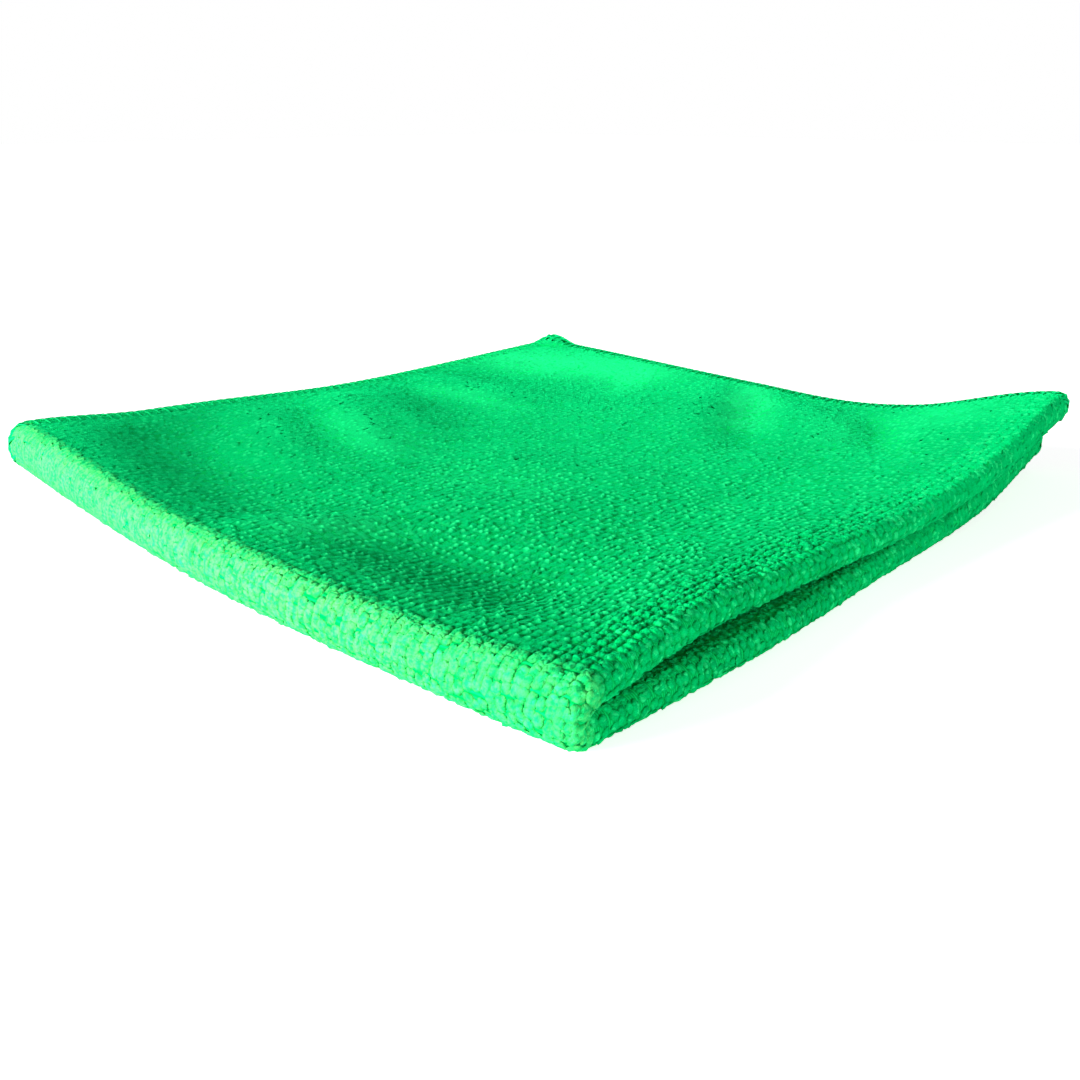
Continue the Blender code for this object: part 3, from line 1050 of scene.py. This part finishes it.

# %% [markdown]
# Then how bright that green is: the fibre's own fine streaks, the tone of each stitch,
# faint clouds, the painted light and shade of the patches, the pressed flats and the
# painted highlight on the tips that stand up. They are multiplied together, as each one
# takes a share of the light.

# %% Pile: how bright
brushed = add(
    tree,
    "ShaderNodeMapRange",
    inputs={"Value": locks.outputs["Fac"], "From Min": 0.3, "From Max": 0.7, "To Min": 0.78, "To Max": 1.12},
)
shade = add(
    tree,
    "ShaderNodeMapRange",
    inputs={"Value": tone.outputs["Fac"], "To Min": 0.82, "To Max": 1.08},
)
cloud = add(
    tree,
    "ShaderNodeMapRange",
    inputs={"Value": clouds.outputs["Fac"], "From Min": 0.3, "From Max": 0.7, "To Min": 0.9, "To Max": 1.1},
)
# painted light and shade of the patches
light = add(
    tree, "ShaderNodeMapRange", inputs={"Value": painted_light.outputs["Fac"], "To Min": PAINTED_SHADE_GAIN, "To Max": PAINTED_LIGHT_GAIN}
)
laid = add(
    tree, "ShaderNodeMapRange", inputs={"Value": opened.outputs["Fac"], "To Min": 0.91, "To Max": 1.08}
)
quiet = add(tree, "ShaderNodeMapRange", inputs={"Value": calm.outputs["Fac"], "To Min": 1.0, "To Max": 0.93})
# painted highlight: the tips are made brighter
tip_highlight = add(tree, "ShaderNodeMapRange", inputs={"Value": tip.outputs["Fac"], "To Min": 1.0, "To Max": 1.5})
gain = add(tree, "ShaderNodeMath", {"operation": "MULTIPLY"}, {0: brushed.outputs[0], 1: shade.outputs[0]})
gain = add(tree, "ShaderNodeMix", inputs={0: unrest.outputs[0], 2: 0.95, 3: gain.outputs[0]})
for factor in (cloud, light, laid, quiet, tip_highlight):
    gain = add(tree, "ShaderNodeMath", {"operation": "MULTIPLY"}, {0: gain.outputs[0], 1: factor.outputs[0]})

# %% [markdown]
# Last, the painted highlights: lighter flakes on the crowns, the light patches, the tips
# that stand up, and a line along the outside of the second crease, which faces the lamp.

# %% Pile: painted highlights
# painted highlight: the top of each flake on a crown, stronger on open pile
flake_highlight = add(tree, "ShaderNodeSeparateColor", inputs={"Color": flakes.outputs["Color"]})
flake_highlight = add(
    tree,
    "ShaderNodeMapRange",
    inputs={"Value": flake_highlight.outputs["Red"], "From Min": 0.78, "From Max": 0.92},
)
flecked = add(
    tree, "ShaderNodeMapRange", inputs={"Value": opened.outputs["Fac"], "To Min": 0.3, "To Max": 0.6}
)
highlight_share = flake_highlight
for factor in (depth, flecked):
    highlight_share = add(tree, "ShaderNodeMath", {"operation": "MULTIPLY"}, {0: highlight_share.outputs[0], 1: factor.outputs[0]})
# painted highlight: light patches also get some of the highlight green
patch_highlight = add(
    tree,
    "ShaderNodeMapRange",
    inputs={"Value": painted_light.outputs["Fac"], "From Min": 0.5, "To Max": 0.35},
)
highlight_share = add(tree, "ShaderNodeMath", {"operation": "MAXIMUM"}, {0: highlight_share.outputs[0], 1: patch_highlight.outputs[0]})
highlight_share = add(tree, "ShaderNodeMath", {"operation": "MAXIMUM"}, {0: highlight_share.outputs[0], 1: tip.outputs["Fac"]})
green = add(
    tree,
    "ShaderNodeMix",
    {"data_type": "RGBA"},
    {0: highlight_share.outputs[0], 6: green.outputs[2], 7: HIGHLIGHT_GREEN},
)
# painted highlight along the second crease, in light and dark lumps
lumps = add(
    tree,
    "ShaderNodeMapRange",
    inputs={"Value": mottle.outputs["Fac"], "From Min": 0.40, "From Max": 0.60, "To Min": 0.15},
)
fold_highlight_share = add(tree, "ShaderNodeMath", {"operation": "MULTIPLY"}, {0: fold_highlight.outputs["Fac"], 1: lumps.outputs[0]})
green = add(
    tree,
    "ShaderNodeMix",
    {"data_type": "RGBA"},
    {0: fold_highlight_share.outputs[0], 6: green.outputs[2], 7: FOLD_HIGHLIGHT_GREEN},
)
colour = add(
    tree,
    "ShaderNodeVectorMath",
    {"operation": "SCALE"},
    {0: green.outputs[2], "Scale": gain.outputs[0]},
)
tree.links.new(colour.outputs["Vector"], surface.inputs["Base Color"])

# %% [markdown]
# Locks of filament and small tufts are too fine to model one by one, so they are bump:
# full on the open pile, and weaker where it is pressed or calm.

# %% Pile: fine relief and sheen
TUFT_DEPTH = 0.45 * MM
LOCK_DEPTH = 0.12 * MM

relief = add(tree, "ShaderNodeMapRange", inputs={"Value": opened.outputs["Fac"], "To Min": 0.4})
relief = add(
    tree, "ShaderNodeMath", {"operation": "MULTIPLY"}, {0: relief.outputs[0], 1: unrest.outputs[0]}
)
tufts = add(
    tree, "ShaderNodeMath", {"operation": "MULTIPLY"}, {0: flakes.outputs["Distance"], 1: relief.outputs[0]}
)
tuft = add(
    tree,
    "ShaderNodeBump",
    inputs={"Height": tufts.outputs[0], "Strength": 1.0, "Distance": -TUFT_DEPTH},
)
bump = add(
    tree,
    "ShaderNodeBump",
    inputs={
        "Height": locks.outputs["Fac"],
        "Strength": 1.0,
        "Distance": LOCK_DEPTH,
        "Normal": tuft.outputs["Normal"],
    },
)
tree.links.new(bump.outputs["Normal"], surface.inputs["Normal"])
surface.inputs["Roughness"].default_value = 0.6
surface.inputs["Specular IOR Level"].default_value = 0.0
surface.inputs["Sheen Weight"].default_value = 0.5
surface.inputs["Sheen Roughness"].default_value = 0.4
surface.inputs["Sheen Tint"].default_value = (0.005, 1.0, 0.29, 1.0)
print(pile.name, "has", len(tree.nodes), "nodes")

# %% [markdown]
# ## The ground's finish
#
# The same dyed yarn, but dense and flat. Its own small stitches are a ladder of fine
# ticks, a wave pattern that follows the sheet. It takes the painted light and shade of the
# patches, and where the pile is calm it is painted lighter, so that the shade in the slits
# between calm puffs doesn't show as dark cracks.

# %% Ground material
SLIT_PAINTED_LIGHT = 1.35                   # painted light: this much lighter between calm puffs, against the shade in the slits
WAVE_LENGTH = 2 * pi / 20       # of Blender's wave pattern, at a scale of 1

ground_finish, tree, surface = new_material("microfibre_ground")
flat = add(tree, "ShaderNodeUVMap", {"uv_map": "flat_cloth"})
ladder = add(
    tree,
    "ShaderNodeTexWave",
    {"wave_type": "BANDS", "bands_direction": "Y", "wave_profile": "SIN"},
    {"Vector": flat.outputs["UV"], "Scale": WAVE_LENGTH / TICK_PITCH, "Distortion": 1.0, "Detail": 1.0},
)
ground_green = add(
    tree,
    "ShaderNodeMix",
    {"data_type": "RGBA"},
    {0: ladder.outputs["Fac"], 6: linear("#00A548"), 7: linear("#08C666")},
)
painted_light = add(tree, "ShaderNodeAttribute", {"attribute_name": "painted_light"})
calm = add(tree, "ShaderNodeAttribute", {"attribute_name": "calm"})
# painted light and shade of the patches, as on the pile
light = add(
    tree, "ShaderNodeMapRange", inputs={"Value": painted_light.outputs["Fac"], "To Min": PAINTED_SHADE_GAIN, "To Max": PAINTED_LIGHT_GAIN}
)
slit_light = add(
    tree, "ShaderNodeMapRange", inputs={"Value": calm.outputs["Fac"], "To Min": 1.0, "To Max": SLIT_PAINTED_LIGHT}
)
gain = add(tree, "ShaderNodeMath", {"operation": "MULTIPLY"}, {0: light.outputs[0], 1: slit_light.outputs[0]})
colour = add(
    tree,
    "ShaderNodeVectorMath",
    {"operation": "SCALE"},
    {0: ground_green.outputs[2], "Scale": gain.outputs[0]},
)
tree.links.new(colour.outputs["Vector"], surface.inputs["Base Color"])
bump = add(
    tree,
    "ShaderNodeBump",
    inputs={"Height": ladder.outputs["Fac"], "Strength": 0.6, "Distance": 0.15 * MM},
)
tree.links.new(bump.outputs["Normal"], surface.inputs["Normal"])
surface.inputs["Roughness"].default_value = 0.9
surface.inputs["Specular IOR Level"].default_value = 0.0
print(ground_finish.name, "has", len(tree.nodes), "nodes")

# %% [markdown]
# ## Overlock thread
#
# Textured polyester, spun soft so that it covers the cut edge. It is matt like the pile
# and a little darker, with a fine fuzz.

# %% Thread material
FUZZ = 0.5 * MM

thread, tree, surface = new_material("polyester_thread")
place = add(tree, "ShaderNodeTexCoord")
fuzz = add(
    tree,
    "ShaderNodeTexNoise",
    inputs={"Vector": place.outputs["Object"], "Scale": 1 / FUZZ, "Detail": 2.0},
)
thread_green = add(
    tree,
    "ShaderNodeMix",
    {"data_type": "RGBA"},
    {0: fuzz.outputs["Fac"], 6: linear("#009E50"), 7: linear("#04D07C")},
)
tree.links.new(thread_green.outputs[2], surface.inputs["Base Color"])
bump = add(
    tree,
    "ShaderNodeBump",
    inputs={"Height": fuzz.outputs["Fac"], "Strength": 0.5, "Distance": 0.1 * MM},
)
tree.links.new(bump.outputs["Normal"], surface.inputs["Normal"])
surface.inputs["Roughness"].default_value = 0.8
surface.inputs["Specular IOR Level"].default_value = 0.05

ground.data.materials.append(ground_finish)
for panel in panels:
    panel.data.materials.append(pile)
for row in hems:
    row.data.materials.append(thread)
print("materials:", pile.name, ground_finish.name, thread.name)

# %% [markdown]
# ## One soft thing
#
# The cloth has no joints, so every piece rides on its one body. The knitted ground stands
# for the solid, which is hidden.

# %% Riding, and the solid hidden
for piece in [ground, *panels, *hems]:
    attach(piece, "root")
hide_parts("folded_cloth")
print("flat sheet", OUTER_LENGTH + INNER_LENGTH, "by", UPPER_WIDTH + LOWER_WIDTH, "m")
